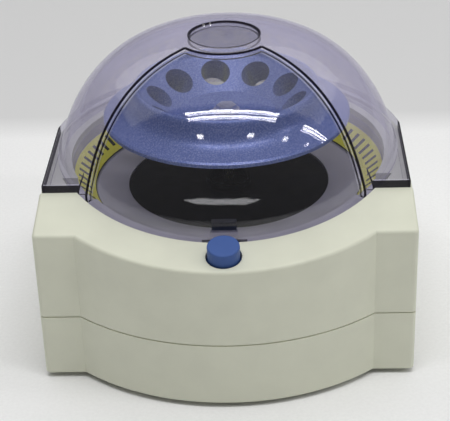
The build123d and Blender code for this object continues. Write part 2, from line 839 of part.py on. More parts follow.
def motor_plate():
    """Steel plate with three lobes that carries the motor."""
    plate = Circle(plate_disc_radius)
    for x, y in plate_places():
        turn = degrees(atan2(y, x))
        arm = Rectangle(plate_arm_radius, 1.6 * plate_lobe_radius)
        plate += Rot(0, 0, turn) * Pos(plate_arm_radius / 2, 0) * arm
        plate += Pos(x, y) * Circle(plate_lobe_radius)
    for x, y in plate_places():
        plate -= Pos(x, y) * Circle(grommet_neck_radius)
    plate -= Circle(bush_radius + 1.4)
    for x, y in face_screw_places():
        plate -= Pos(x, y) * Circle(screw_radius)
    return prism(plate, plate_under_z, plate_top_z)


def face_screw_places():
    """Two places, each side of the shaft, where the motor is screwed to the plate."""
    return [(-0.62 * motor_radius, 0.0), (0.62 * motor_radius, 0.0)]


def motor_grommets():
    """Rubber grommets between the plate and the bowl's bosses."""
    grommets = []
    for x, y in plate_places():
        body = ring(grommet_radius, screw_radius + 0.1, grommet_foot_z, grommet_top_z, x, y)
        waist = ring(2 * grommet_radius, grommet_neck_radius, plate_under_z, plate_top_z, x, y)
        grommets.append(body - waist)
    return grommets


def plate_screws():
    """Three screws that hold the motor plate to the bowl."""
    reach = bowl_floor_z - cover_drop - cover_thick - 0.3 - grommet_foot_z
    return [screw(x, y, grommet_foot_z, reach) for x, y in plate_places()]


def motor_can():
    """Deep-drawn steel can, open at its foot, with a neck round the front bush."""
    can = disc(motor_radius, motor_foot_z, plate_under_z)
    can -= disc(motor_radius - can_wall, 0, plate_under_z - can_wall)
    can += disc(bush_radius + 1.2, plate_under_z - bush_length, plate_top_z + 1.0)
    can -= disc(bush_radius, 0, far)
    for x, y in face_screw_places():
        can -= disc(screw_radius, plate_under_z - can_wall, plate_under_z, x, y)
    return can


def motor_face_screws():
    """Two screws through the plate into the motor's face."""
    return [screw(x, y, plate_top_z, plate_thick + can_wall, False) for x, y in face_screw_places()]


def motor_magnets():
    """Two curved magnets inside the can."""
    outer = motor_radius - can_wall
    low = motor_foot_z + 7.0
    shell = ring(outer, outer - motor_magnet_thick, low, low + armature_length + 2.0)
    gap = block(-far, far, -3.0, 3.0, 0, far)
    return (shell - gap).solids()


def motor_end_cap():
    """Moulded cap that closes the can's foot and holds the rear bush and the brushes."""
    inner = motor_radius - can_wall
    cap = disc(inner, motor_foot_z, motor_foot_z + end_cap_thick)
    cap += disc(bush_radius + 1.2, motor_foot_z - 1.2, motor_foot_z)
    cap -= disc(bush_radius, 0, far)
    for x in (-1, 1):
        side = x * (commutator_radius + 5.4)
        cap += block(side - 2.2, side + 2.2, -2.4, 2.4, motor_foot_z, motor_foot_z + end_cap_thick + 0.4)
        cap -= disc(tag_radius, 0, far, x * (motor_radius - tag_inset), 0)
    return cap


def motor_bushes():
    """Two sintered bushes that carry the shaft."""
    bore = shaft_radius + bush_gap
    front = ring(bush_radius, bore, plate_under_z - bush_length + 0.4, plate_top_z + 0.6)
    rear = ring(bush_radius, bore, motor_foot_z - 1.2, motor_foot_z + end_cap_thick)
    return [front, rear]


def motor_brushes():
    """Two carbon brushes beside the commutator."""
    low = motor_foot_z + end_cap_thick + 0.4
    inner = commutator_radius + 0.3
    outer = commutator_radius + 7.6
    return both_sides(block(inner, outer, -1.8, 1.8, low, low + 3.0))


def motor_terminals():
    """Two solder tags under the end cap."""
    x = motor_radius - tag_inset
    pin = disc(tag_radius, motor_foot_z - tag_length, motor_foot_z + end_cap_thick, x, 0)
    return both_sides(pin)


def motor_shaft():
    """Steel shaft from the rear bush up to the rotor."""
    return disc(shaft_radius, motor_foot_z - 1.0, shaft_top_z)


def armature_core():
    """Slotted stack of steel laminations on the shaft."""
    low = motor_foot_z + 8.0
    outer = motor_radius - can_wall - motor_magnet_thick - magnet_gap
    stack = ring(outer, shaft_radius, low, low + armature_length)
    for i in range(5):
        slot = block(outer - 5.2, outer - 1.4, -2.4, 2.4, low - 1, far)
        mouth = block(outer - 2.0, outer + 1.0, -0.8, 0.8, low - 1, far)
        stack -= Rot(0, 0, 72 * i) * (slot + mouth)
    return stack


def armature_windings():
    """Copper coils that fill the slots of the stack."""
    low = motor_foot_z + 8.0
    outer = motor_radius - can_wall - motor_magnet_thick - magnet_gap
    coils = []
    for i in range(5):
        wire_pack = block(outer - 5.1, outer - 1.5, -2.3, 2.3, low + 0.1, low + armature_length - 0.1)
        coils.append(Rot(0, 0, 72 * i) * wire_pack)
    return coils


def commutator():
    """Copper commutator on the shaft between the brushes."""
    low = motor_foot_z + end_cap_thick + 0.3
    return ring(commutator_radius, shaft_radius, low, low + commutator_length)


def rotor_section():
    """Outer and inner outline of the turned rotor body."""
    rise = tan(radians(hole_slope))
    floor_z = hole_circle_z - (hole_circle_radius - rotor_floor_radius) * rise
    ridge_z = hole_circle_z + (ridge_radius - 1.0 - hole_circle_radius) * rise
    flare = Spline(
        (shoulder_radius + 0.8, 0, ridge_top_z - 3.0),
        (shoulder_radius + 3.4, 0, rim_z + 3.6),
        (rim_radius - 0.8, 0, rim_z + 0.6),
        tangents=[(0.25, 0, -1), (1, 0, -0.25)],
    )
    crown = Spline(
        (ridge_radius - 1.0, 0, ridge_z),
        ((ridge_radius + shoulder_radius) / 2 - 0.4, 0, ridge_top_z),
        (shoulder_radius + 0.8, 0, ridge_top_z - 3.0),
        tangents=[(1, 0, rise), (0.25, 0, -1)],
    )
    return floor_z, ridge_z, crown, flare


def rotor():
    """Blue moulded rotor: sunk centre, ring of sloped tube holes, ridge and flared skirt."""
    floor_z, ridge_z, crown, flare = rotor_section()
    under = rotor_wall / cos(radians(hole_slope))
    rim_under = rim_z - 1.2
    outline = [
        Line((0, 0, floor_z), (rotor_floor_radius, 0, floor_z)),
        Line((rotor_floor_radius, 0, floor_z), (ridge_radius - 1.0, 0, ridge_z)),
        crown,
        flare,
        Polyline(
            flare @ 1,
            (rim_radius, 0, rim_z),
            (rim_radius, 0, rim_under),
            (rim_radius - 2.6, 0, rim_under),
            (shoulder_radius + 1.8, 0, rim_z + 1.0),
            (shoulder_radius - 1.2, 0, ridge_top_z - 4.4),
            (ridge_radius - 0.6, 0, ridge_z - under),
            (rotor_floor_radius, 0, floor_z - under),
            (rotor_boss_radius, 0, floor_z - under),
            (rotor_boss_radius, 0, rotor_boss_foot_z),
            (0, 0, rotor_boss_foot_z),
            (0, 0, floor_z),
        ),
    ]
    body = revolve(make_face(outline), Axis.Z)
    sleeves = []
    bores = []
    for i in range(hole_count):
        place = hole_place(i)
        sleeve = Cylinder(hole_radius + sleeve_wall, sleeve_length - 2 * sleeve_drop)
        sleeves.append(place * Pos(0, 0, -sleeve_length / 2 - sleeve_drop) * sleeve)
        bores.append(place * Cylinder(hole_radius, 3 * sleeve_length))
    keep = rotor_envelope(floor_z, ridge_z, rim_under)
    body += [sleeve & keep for sleeve in sleeves]
    body -= bores
    body -= disc(hub_radius, 0, floor_z - 1.0)
    body -= disc(hub_flange_radius, 0, rotor_boss_foot_z + hub_flange_thick)
    body -= disc(shaft_radius + 0.1, 0, far)
    return body


def rotor_envelope(floor_z, ridge_z, rim_under):
    """Space under the rotor's top face that the tube sleeves may fill."""
    return turned([
        (rotor_boss_radius - 1.0, floor_z - 1.0),
        (rotor_floor_radius, floor_z - 1.0),
        (ridge_radius - 1.0, ridge_z - 1.0),
        (shoulder_radius, ridge_top_z - 4.0),
        (shoulder_radius + 3.0, rim_z + 2.0),
        (rim_radius - 4.0, rim_z - 0.5),
        (rim_radius - 4.0, rim_under - sleeve_length),
        (rotor_boss_radius - 1.0, rim_under - sleeve_length),
    ])


def hole_place(i):
    """Frame of a tube hole: its Z axis leaves the hole upwards and towards the middle."""
    turn = hole_phase + i * 360 / hole_count - 90
    tilt = Rot(0, -hole_slope, 0)
    return Rot(0, 0, turn) * Pos(hole_circle_radius, 0, hole_circle_z) * tilt


def rotor_hub():
    """Metal insert that grips the shaft inside the rotor's boss."""
    floor_z = rotor_section()[0]
    hub = disc(hub_radius, rotor_boss_foot_z, floor_z - 1.0)
    hub += disc(hub_flange_radius, rotor_boss_foot_z, rotor_boss_foot_z + hub_flange_thick)
    return hub - disc(shaft_radius, 0, far)


def rotor_screw():
    """Cap nut over the shaft's end that holds the rotor down."""
    floor_z = rotor_section()[0]
    nut = prism(RegularPolygon(cap_screw_radius, 6), floor_z, floor_z + cap_screw_height)
    nut += disc(cap_screw_radius + 1.2, floor_z, floor_z + 0.8)
    return nut - disc(shaft_radius, 0, shaft_top_z)


def bowl_screws():
    """Four screws that hold the bowl's lugs to the deck's bosses."""
    seat = bowl_boss_z - bowl_lug_thick
    reach = bowl_lug_thick + 2.8
    return [screw(x, y, seat, reach) for x, y in boss_places()]


def housing_screws():
    """Four long screws that join the pan and the upper shell."""
    seat = foot_gap + 2 * screw_head_height
    return [screw(x, y, seat, pan_height + 6.0) for x, y in post_places()]


def bracket_screws():
    """Two screws that hold the latch bracket."""
    seat = bracket_wing_z - bracket_thick
    return [screw(x, bracket_boss_y, seat, 7.0) for x in (-bracket_boss_x, bracket_boss_x)]


def board_corners():
    """The four fixing places of the circuit board."""
    x = board_width / 2 - board_inset
    y = board_length / 2 - board_inset
    return [(board_x + sx * x, board_y + sy * y) for sx in (-1, 1) for sy in (-1, 1)]


def circuit_board():
    """Fibre board on its posts."""
    sheet = Pos(board_x, board_y) * Rectangle(board_width, board_length)
    board = prism(sheet, board_z, board_top_z)
    for x, y in board_corners():
        board -= disc(screw_radius, 0, far, x, y)
    return board


def board_screws():
    """Four screws that hold the board to its posts."""
    top = board_top_z
    return [screw(x, y, top, 5.0, False) for x, y in board_corners()]


def board_capacitor():
    """Upright electrolytic capacitor with a grooved can."""
    top = board_top_z
    can = disc(5.0, top, top + 16.0, board_x + 9.0, board_y + 19.0)
    groove = ring(6.0, 4.6, top + 2.0, top + 3.0, board_x + 9.0, board_y + 19.0)
    return can - groove


def board_regulator():
    """Power transistor on a finned heat sink."""
    top = board_top_z
    x = board_x - 4.5
    y = board_y + 9.0
    sink = block(x - 7, x + 7, y + 2.5, y + 5, top, top + 20)
    for i in range(5):
        fin_x = x - 6.4 + 3.2 * i
        sink += block(fin_x - 0.5, fin_x + 0.5, y + 5, y + 10, top, top + 20)
    chip = block(x - 5, x + 5, y - 2.0, y + 2.5, top + 4, top + 14)
    for i in (-1, 0, 1):
        chip += block(x + 2.5 * i - 0.4, x + 2.5 * i + 0.4, y - 0.3, y + 0.3, top, top + 4)
    return sink, chip


def board_fuse():
    """Glass fuse and its two clips."""
    top = board_top_z
    x = board_x + 5.0
    y = board_y - 14.0
    glass = bar_x(2.4, x - 7, x + 7, y, top + 4.0)
    caps = [bar_x(2.6, x - 10, x - 7, y, top + 4.0), bar_x(2.6, x + 7, x + 10, y, top + 4.0)]
    clips = []
    for side in (x - 8.5, x + 8.5):
        clip = block(side - 1.3, side + 1.3, y - 3.2, y + 3.2, top, top + 6.0)
        clip -= bar_x(2.6, side - 2, side + 2, y, top + 4.0)
        clips.append(clip - block(side - 2, side + 2, y - 1.8, y + 1.8, top + 4.0, top + 7))
    return glass, caps, clips


def board_headers():
    """Three plug headers that the wires go to."""
    across = header_width / 2
    along = header_length / 2
    rows = []
    for x, y in header_places():
        rows.append(block(x - across, x + across, y - along, y + along, board_top_z, header_top_z))
    return rows


def header_places():
    """Places of the motor, power and switch headers on the board."""
    x = board_x + board_width / 2 - 4.0
    return [(x, board_y - 2.0), (x, board_y + 8.5), (board_x - 6.0, board_y - 4.0)]


def power_jack():
    """Round low-voltage socket in the rear panel, with its bore open to the rear."""
    front = panel_y - wall
    body = bar_y(jack_barrel_radius, front - jack_depth, panel_y + 1.0, jack_x, jack_z)
    body += bar_y(jack_flange_radius, panel_y, panel_y + 1.4, jack_x, jack_z)
    body -= bar_y(jack_pin_radius, 0, far, jack_x, jack_z)
    return body - bar_y(jack_bore_radius, front - jack_depth + 2.0, far, jack_x, jack_z)


def jack_pin():
    """Centre pin of the socket."""
    front = panel_y - wall
    return bar_y(jack_pin_radius, front - jack_depth - jack_tail, panel_y - 0.5, jack_x, jack_z)


def jack_nut():
    """Hexagon nut behind the panel."""
    front = panel_y - wall
    flat = Rot(90, 0, 0) * extrude(RegularPolygon(jack_flange_radius, 6), 2.4)
    return Pos(jack_x, front, jack_z) * flat - bar_y(jack_barrel_radius, 0, far, jack_x, jack_z)


def switch_case():
    """Rocker switch body and bezel, snapped into the rear panel."""
    half = switch_width / 2 - 0.1
    tall = switch_height / 2 - 0.1
    out_half = switch_width / 2 + bezel_edge
    out_tall = switch_height / 2 + bezel_edge
    rear = panel_y + bezel_thick
    back = panel_y - wall - switch_depth
    case = block(-half, half, back, panel_y + 0.5, -tall, tall)
    case += block(-out_half, out_half, panel_y, rear, -out_tall, out_tall)
    inner = half - 1.2
    low = tall - 1.2
    return Pos(switch_x, 0, switch_z) * (case - block(-inner, inner, panel_y - 5.0, far, -low, low))


def switch_terminals():
    """Two tags at the back of the switch."""
    back = panel_y - wall - switch_depth
    thick = switch_tag_thick / 2
    tall = switch_tag_height / 2
    tags = []
    for x in (switch_x - switch_tag_x, switch_x + switch_tag_x):
        tag = block(x - thick, x + thick, back - switch_tag_length, back, switch_z - tall, switch_z + tall)
        tags.append(tag)
    return tags


def switch_rocker():
    """Rocker with two faces that meet in a shallow V, turning about an upright axis."""
    half = switch_width / 2 - 1.3 - rocker_gap
    tall = switch_height / 2 - 1.3 - rocker_gap
    pivot_y = panel_y - rocker_pivot_depth
    face = half * tan(radians(rocker_tilt))
    middle = rocker_pivot_depth + bezel_thick - 0.6
    outline = Polyline(
        (-half, pivot_y - 1.4),
        (0, pivot_y - 2.6),
        (half, pivot_y - 1.4),
        (half, pivot_y + middle + face),
        (0, pivot_y + middle),
        (-half, pivot_y + middle + face),
        close=True,
    )
    rocker = prism(make_face(outline), switch_z - tall, switch_z + tall)
    turn = Pos(switch_x, pivot_y, 0) * Rot(0, 0, rocker_tilt) * Pos(0, -pivot_y, 0)
    return turn * rocker


def reed_place():
    """Place of the reed switch's axis along Y and Z, just under the bowl's flange."""
    y = -bowl_flange_radius + 3 * reed_radius
    flange_under = fascia_z(y - reed_radius) - wall - bowl_rim_gap - bowl_flange_thick
    return y, flange_under - reed_radius - reed_gap


def reed_switch():
    """Glass reed switch under the bowl's flange, worked by the lid's magnet."""
    y, z = reed_place()
    return bar_x(reed_radius, reed_near_x, reed_near_x + reed_length, y, z)


def wire(points):
    """Insulated wire along a route whose bends are as wide as the runs allow."""
    places = [Vector(*p) for p in points]
    radii = []
    for before, here, after in zip(places, places[1:], places[2:]):
        run_in = here - before
        run_out = after - here
        turn = radians(run_in.get_angle(run_out))
        radii.append(0.45 * min(run_in.length, run_out.length) / tan(turn / 2))
    path = FilletPolyline(*places, radius=radii)
    section = Plane(path @ 0, z_dir=path % 0) * Circle(wire_radius)
    return sweep(section, path)


def motor_leads():
    """Pair of wires from the motor's tags to the board."""
    x, y = header_places()[0]
    front = y - lead_spread
    rear = y + lead_spread
    tag_x = motor_radius - tag_inset
    tag_z = motor_foot_z - tag_length - wire_radius
    near = wire([
        (-tag_x, 0, tag_z), (-tag_x - 5, -2, tag_z), (-21.5, -3, 8), (-21.5, -3, 24),
        (x, rear, 24), (x, rear, header_top_z),
    ])
    long = wire([
        (tag_x, 0, tag_z), (tag_x - 2, -7, tag_z), (0, -12, tag_z), (-14, -12, tag_z), (-23, -9, 8),
        (-23, -9, 28), (x, front, 28), (x, front, header_top_z),
    ])
    return [near, long]


def power_leads():
    """Pair of wires from the socket and the switch to the board."""
    x, y = header_places()[1]
    front = y - lead_spread
    rear = y + lead_spread
    jack_back = panel_y - wall - jack_depth - jack_tail
    first = wire([
        (jack_x, jack_back, jack_z), (jack_x, jack_back - 8, jack_z), (x + 6, jack_back - 14, 22),
        (x, rear + 10, 30), (x, rear, 30), (x, rear, header_top_z),
    ])
    switch_back = panel_y - wall - switch_depth - switch_tag_length
    side = switch_x - switch_tag_x
    second = wire([
        (side, switch_back, switch_z), (side, switch_back - 7, switch_z), (side - 11, switch_back - 12, 18),
        (-12, 30, 26), (x + 8, front + 6, 26), (x, front, 26), (x, front, header_top_z),
    ])
    return [first, second]


def reed_leads():
    """Pair of thin wires from the reed switch to the board."""
    x, y = header_places()[2]
    front = y - lead_spread
    rear = y + lead_spread
    reed_y, reed_z = reed_place()
    x0 = reed_near_x
    x1 = reed_near_x + reed_length
    inner = wire([
        (x1, reed_y, reed_z), (x1 + 5, reed_y, reed_z), (x1 + 7, reed_y + 5, 38), (x1 + 3, reed_y + 8, 20),
        (-4, -44, 12), (-24, -36, 14), (x, -24, 22), (x, front, 24), (x, front, header_top_z),
    ])
    outer = wire([
        (x0, reed_y, reed_z), (x0 - 1.6, reed_y, reed_z), (x0 - 1.6, -51.5, 41), (x0 - 1, -49, 28),
        (x0 - 6, -42, 18), (-24, -31, 18), (x, -20, 28), (x, rear, 28), (x, rear, header_top_z),
    ])
    return [inner, outer]


def write(node, shape):
    """Write one named piece, or a group of like pieces, to its file."""
    pieces = shape if isinstance(shape, (list, tuple)) else [shape]
    solids = [solid for piece in pieces for solid in piece.solids()]
    result = solids[0] if len(solids) == 1 else Compound(solids)
    export_step(result, "parts/" + node + ".step")


def main():
    """Build every piece and write it."""
    os.makedirs("parts", exist_ok=True)
    heat_sink, transistor = board_regulator()
    fuse_glass, fuse_caps, fuse_clips = board_fuse()
    pieces = {
        "base_pan": base_pan(),
        "upper_housing": upper_housing(),
        "rubber_feet": feet(),
        "housing_screws": housing_screws(),
        "rotor_bowl": rotor_bowl(),
        "bowl_band": bowl_band(),
        "bowl_screws": bowl_screws(),
        "motor_cover": motor_cover(),
        "motor_plate": motor_plate(),
        "motor_grommets": motor_grommets(),
        "plate_screws": plate_screws(),
        "motor_can": motor_can(),
        "motor_face_screws": motor_face_screws(),
        "motor_magnets": motor_magnets(),
        "motor_end_cap": motor_end_cap(),
        "motor_bushes": motor_bushes(),
        "motor_brushes": motor_brushes(),
        "motor_terminals": motor_terminals(),
        "motor_shaft": motor_shaft(),
        "armature_core": armature_core(),
        "armature_windings": armature_windings(),
        "commutator": commutator(),
        "rotor": rotor(),
        "rotor_hub": rotor_hub(),
        "rotor_screw": rotor_screw(),
        "lid_shell": lid_shell(),
        "lid_magnet": lid_magnet(),
        "hinge_pin": hinge_pin(),
        "lid_springs": lid_springs(),
        "release_button": release_button(),
        "latch_lever": latch_lever(),
        "latch_bracket": latch_bracket(),
        "latch_pin": latch_pin(),
        "latch_spring": latch_spring(),
        "bracket_screws": bracket_screws(),
        "reed_switch": reed_switch(),
        "circuit_board": circuit_board(),
        "board_screws": board_screws(),
        "board_capacitor": board_capacitor(),
        "heat_sink": heat_sink,
        "power_transistor": transistor,
        "fuse_glass": fuse_glass,
        "fuse_caps": fuse_caps,
        "fuse_clips": fuse_clips,
        "board_headers": board_headers(),
        "power_jack": power_jack(),
        "jack_pin": jack_pin(),
        "jack_nut": jack_nut(),
        "switch_case": switch_case(),
        "switch_terminals": switch_terminals(),
        "switch_rocker": switch_rocker(),
        "motor_leads": motor_leads(),
        "power_leads": power_leads(),
        "reed_leads": reed_leads(),
    }
    for node, shape in pieces.items():
        write(node, shape)


main()
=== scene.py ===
import bpy
from math import cos, pi, radians, sin
from mathutils import Matrix, Vector

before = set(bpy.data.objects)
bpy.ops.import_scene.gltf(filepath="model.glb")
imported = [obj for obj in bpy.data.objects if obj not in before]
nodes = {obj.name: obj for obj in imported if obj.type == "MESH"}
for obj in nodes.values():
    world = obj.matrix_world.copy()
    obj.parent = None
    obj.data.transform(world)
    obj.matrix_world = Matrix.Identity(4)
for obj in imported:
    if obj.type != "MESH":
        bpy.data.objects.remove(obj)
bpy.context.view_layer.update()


# Camera. A long lens looks down on the machine from in front, a little from its right side,
# and leans by two degrees. It is set first, because the looks are judged through it.
scene = bpy.context.scene
scene.view_settings.view_transform = "Standard"

camera_place = (0.016707, -0.4622, 0.288964)
camera_turn = radians(2.292)
camera_dip = radians(28.871)
camera_lean = radians(-1.999)
lens_length = 113.52
film_width = 36.0
nearest_seen = 0.02

view = bpy.data.cameras.new("bench_camera")
view.lens = lens_length
view.sensor_width = film_width
view.clip_start = nearest_seen
viewer = bpy.data.objects.new("bench_camera", view)
scene.collection.objects.link(viewer)
viewer.matrix_world = (
    Matrix.Translation(camera_place)
    @ Matrix.Rotation(camera_turn, 4, "Z")
    @ Matrix.Rotation(pi / 2 - camera_dip, 4, "X")
    @ Matrix.Rotation(camera_lean, 4, "Z")
)
scene.camera = viewer


# Bench. One wide white laminate sheet with a fine fleck carries the machine, and its far part
# has the light grey tone of the wall behind, so that the two meet in a soft line.
def shader_of(name):
    """New material whose tree holds one Principled shader and an output."""
    material = bpy.data.materials.new(name)
    material.use_nodes = True
    tree = material.node_tree
    return material, tree, tree.nodes["Principled BSDF"]


def node(tree, kind, inputs=(), **settings):
    """Add a shader node; an input is a value, or a socket to link from."""
    made = tree.nodes.new("ShaderNode" + kind)
    for key, value in settings.items():
        setattr(made, key, value)
    for key, value in dict(inputs).items():
        if isinstance(value, bpy.types.NodeSocket):
            tree.links.new(value, made.inputs[key])
        else:
            made.inputs[key].default_value = value
    return made


def place_in(tree):
    """X, Y and Z of a point in the piece's own space."""
    place = node(tree, "TexCoord").outputs["Object"]
    return node(tree, "SeparateXYZ", {"Vector": place}).outputs


def grain(tree, size, detail=2.0, stretch=(1, 1, 1)):
    """Noise in the piece's own space, with cells of about the given size in metres."""
    place = node(tree, "TexCoord").outputs["Object"]
    if stretch != (1, 1, 1):
        place = node(tree, "Mapping", {"Vector": place, "Scale": stretch}).outputs[0]
    noise = node(tree, "TexNoise", {"Vector": place, "Scale": 1 / size, "Detail": detail})
    return noise.outputs["Fac"]


def between(tree, fac, low, high, start=0.3, stop=0.7):
    """A factor carried from start and stop to a low and a high value."""
    inputs = {"Value": fac, "From Min": start, "From Max": stop, "To Min": low, "To Max": high}
    return node(tree, "MapRange", inputs).outputs[0]


def either(tree, mask, off, on):
    """One value where a mask is zero, and another where it is one."""
    return between(tree, mask, off, on, 0.0, 1.0)


def tones(tree, fac, dark, light, start=0.3, stop=0.7):
    """Colour that runs from a dark to a light tone with a factor."""
    ramp = node(tree, "ValToRGB", {"Fac": fac})
    ramp.color_ramp.elements[0].position = start
    ramp.color_ramp.elements[0].color = (*dark, 1)
    ramp.color_ramp.elements[1].position = stop
    ramp.color_ramp.elements[1].color = (*light, 1)
    return ramp.outputs[0]


def laid_over(tree, mask, under, over):
    """Colour of the ground, and the plain colour laid over it where a mask is one."""
    mix = node(tree, "Mix", {0: mask, 6: under, 7: (*over, 1)}, data_type="RGBA")
    return mix.outputs[2]


def shade(colour, factor):
    """A colour made lighter or darker."""
    return tuple(min(1.0, c * factor) for c in colour)


bench_reach = 2.5
wall_start_y = 0.146
wall_soft = 0.012
bench_white = (0.86, 0.86, 0.86)
wall_grey = (0.66, 0.66, 0.66)
fleck_cell = 0.0012
fleck_shades = (0.97, 1.02)
bench_rough = 0.6
bench_shine = 0.2

mesh = bpy.data.meshes.new("bench")
corners = ((-1, -1), (1, -1), (1, 1), (-1, 1))
mesh.from_pydata([(x * bench_reach, y * bench_reach, 0) for x, y in corners], [], [(0, 1, 2, 3)])
bench = bpy.data.objects.new("bench", mesh)
scene.collection.objects.link(bench)
bench_laminate, tree, skin = shader_of("bench_laminate")
laminate = tones(tree, grain(tree, fleck_cell, 3), *(shade(bench_white, f) for f in fleck_shades))
behind = between(tree, place_in(tree)["Y"], 0, 1, wall_start_y - wall_soft, wall_start_y + wall_soft)
tree.links.new(laid_over(tree, behind, laminate, wall_grey), skin.inputs["Base Color"])
skin.inputs["Roughness"].default_value = bench_rough
skin.inputs["Specular IOR Level"].default_value = bench_shine
mesh.materials.append(bench_laminate)


# Room and lamps. An even white room holds pairs of long tubes on the ceiling, a row of small
# square lights in front of them, a pale ceiling behind and a low window far in front.
room_light = 0.15
ceiling = 1.5
tube_glow = 26.0
tube_width = 0.05
battens = (("near", -0.59, 0.835, (-0.275, -0.425)), ("far", 1.6, 3.15, (-0.36, -0.475)))
small_glow = 14.0
small_side = 0.12
small_row_y = -0.93
small_row = (-0.467, 0.47, 1.3, 2.25)
ceiling_glow = 0.82
ceiling_middle_y = 1.1
ceiling_size = (4.4, 2.4)
window_glow = 3.0
window_place = (-0.19, -3.0, 0.70)
window_size = (2.7, 0.12)
window_aim = (0, 1, -0.2)

room = bpy.data.worlds.new("room")
room.use_nodes = True
scene.world = room
air = room.node_tree.nodes["Background"]
air.inputs["Color"].default_value = (1, 1, 1, 1)
air.inputs["Strength"].default_value = room_light


def lamp(name, place, size, glow, aim=(0, 0, -1), shape="RECTANGLE"):
    """Flat lamp of a given size in metres and glow, facing a direction."""
    light = bpy.data.lights.new(name, "AREA")
    light.shape = shape
    light.size, light.size_y = size
    area = size[0] * size[1] * (pi / 4 if shape == "ELLIPSE" else 1)
    light.energy = glow * pi * area
    holder = bpy.data.objects.new(name, light)
    scene.collection.objects.link(holder)
    holder.location = place
    holder.rotation_mode = "QUATERNION"
    holder.rotation_quaternion = Vector(aim).to_track_quat("-Z", "Y")
    holder.visible_camera = False


for batten, start_x, end_x, rows in battens:
    for i, row_y in enumerate(rows):
        middle = ((start_x + end_x) / 2, row_y, ceiling)
        lamp(f"tube_{batten}_{i}", middle, (end_x - start_x, tube_width), tube_glow)
for i, x in enumerate(small_row):
    lamp(f"small_light_{i}", (x, small_row_y, ceiling), (small_side, small_side), small_glow)
lamp("rear_ceiling", (0.0, ceiling_middle_y, ceiling), ceiling_size, ceiling_glow)
lamp("low_window", window_place, window_size, window_glow, window_aim, "ELLIPSE")


# Base pan and upper housing. Two thin-walled ABS mouldings in warm grey, with a fine spark-
# eroded grain, that meet at a lip and are drawn together by four long screws from below.
cloud_cell = 0.012
gloss_cell = 0.004
gloss_wander = 0.06
spark_strength = 0.6


def moulded(name, colour, rough, spread=0.03, depth=0.00001, cell=0.0005, shine=0.5):
    """Moulded plastic: slight cloudiness, an even fine grain and a roughness that wanders."""
    material, tree, skin = shader_of(name)
    tint = tones(tree, grain(tree, cloud_cell, 3), shade(colour, 1 - spread), shade(colour, 1 + spread))
    tree.links.new(tint, skin.inputs["Base Color"])
    gloss = between(tree, grain(tree, gloss_cell, 3), rough - gloss_wander, rough + gloss_wander)
    tree.links.new(gloss, skin.inputs["Roughness"])
    sparks = {"Strength": spark_strength, "Distance": depth, "Height": grain(tree, cell, 2)}
    tree.links.new(node(tree, "Bump", sparks).outputs[0], skin.inputs["Normal"])
    skin.inputs["Specular IOR Level"].default_value = shine
    return material


def dress(names, material):
    """Give CAD pieces a material in all their slots."""
    for name in names:
        data = nodes[name].data
        data.materials.clear()
        data.materials.append(material)


housing_grey = (0.69, 0.70, 0.575)
housing_abs = moulded("housing_abs", housing_grey, rough=0.5)
dress(["base_pan", "upper_housing"], housing_abs)


# Rubber feet and grommets. Four black nitrile pads are pressed into round sinks in the pan's
# floor, and three grommets of the same rubber carry the motor's plate.
nitrile_black = (0.025, 0.025, 0.026)
black_nitrile = moulded("black_nitrile", nitrile_black, rough=0.75, spread=0.2, depth=0.00003, cell=0.0008)
dress(["rubber_feet", "motor_grommets"], black_nitrile)


# Motor. A small brushed motor in a plated steel can hangs from a pressed steel plate. Its
# magnets, stack, windings and brushes are closed in by a nylon cap with two tags.
tool_shades = (0.9, 1.06)
tool_gloss = (-0.07, 0.08)
tool_depth = 0.00001
tool_strength = 0.4


def worked_metal(name, colour, rough, stretch=(1, 1, 12), cell=0.0008):
    """Bare or plated metal with fine tool lines along one direction."""
    material, tree, skin = shader_of(name)
    lines = grain(tree, cell, 3, stretch)
    tint = tones(tree, lines, *(shade(colour, f) for f in tool_shades))
    tree.links.new(tint, skin.inputs["Base Color"])
    tree.links.new(between(tree, lines, *(rough + g for g in tool_gloss)), skin.inputs["Roughness"])
    marks = {"Strength": tool_strength, "Distance": tool_depth, "Height": lines}
    tree.links.new(node(tree, "Bump", marks).outputs[0], skin.inputs["Normal"])
    skin.inputs["Metallic"].default_value = 1.0
    return material


zinc_plate = worked_metal("zinc_plate", (0.62, 0.62, 0.64), rough=0.35, stretch=(12, 1, 1))
dress(["motor_plate", "latch_bracket"], zinc_plate)
nickel_can = worked_metal("nickel_can", (0.58, 0.58, 0.6), rough=0.28, stretch=(1, 1, 0.1))
dress(["motor_can"], nickel_can)
ferrite = moulded("ferrite", (0.03, 0.03, 0.032), rough=0.4, spread=0.25)
dress(["motor_magnets"], ferrite)
nylon_white = moulded("nylon_white", (0.75, 0.74, 0.68), rough=0.4, spread=0.04)
dress(["motor_end_cap", "board_headers", "latch_lever"], nylon_white)
sintered_bronze = worked_metal(
    "sintered_bronze", (0.55, 0.38, 0.2), rough=0.5, stretch=(1, 1, 1), cell=0.0003)
dress(["motor_bushes"], sintered_bronze)
pressed_carbon = moulded("pressed_carbon", (0.03, 0.03, 0.03), rough=0.6, spread=0.3)
dress(["motor_brushes"], pressed_carbon)
tinned_brass = worked_metal("tinned_brass", (0.74, 0.72, 0.66), rough=0.3)
dress(["motor_terminals", "switch_terminals", "jack_pin", "fuse_clips", "fuse_caps"], tinned_brass)
ground_steel = worked_metal(
    "ground_steel", (0.62, 0.62, 0.63), rough=0.22, stretch=(1, 1, 0.2), cell=0.0003)
dress(["motor_shaft", "hinge_pin", "latch_pin"], ground_steel)
sheet_stack = worked_metal(
    "sheet_stack", (0.32, 0.32, 0.33), rough=0.45, stretch=(0.05, 0.05, 1), cell=0.0006)
dress(["armature_core"], sheet_stack)
copper_wire = worked_metal(
    "copper_wire", (0.75, 0.36, 0.17), rough=0.3, stretch=(0.1, 0.1, 1), cell=0.0004)
dress(["armature_windings", "commutator"], copper_wire)


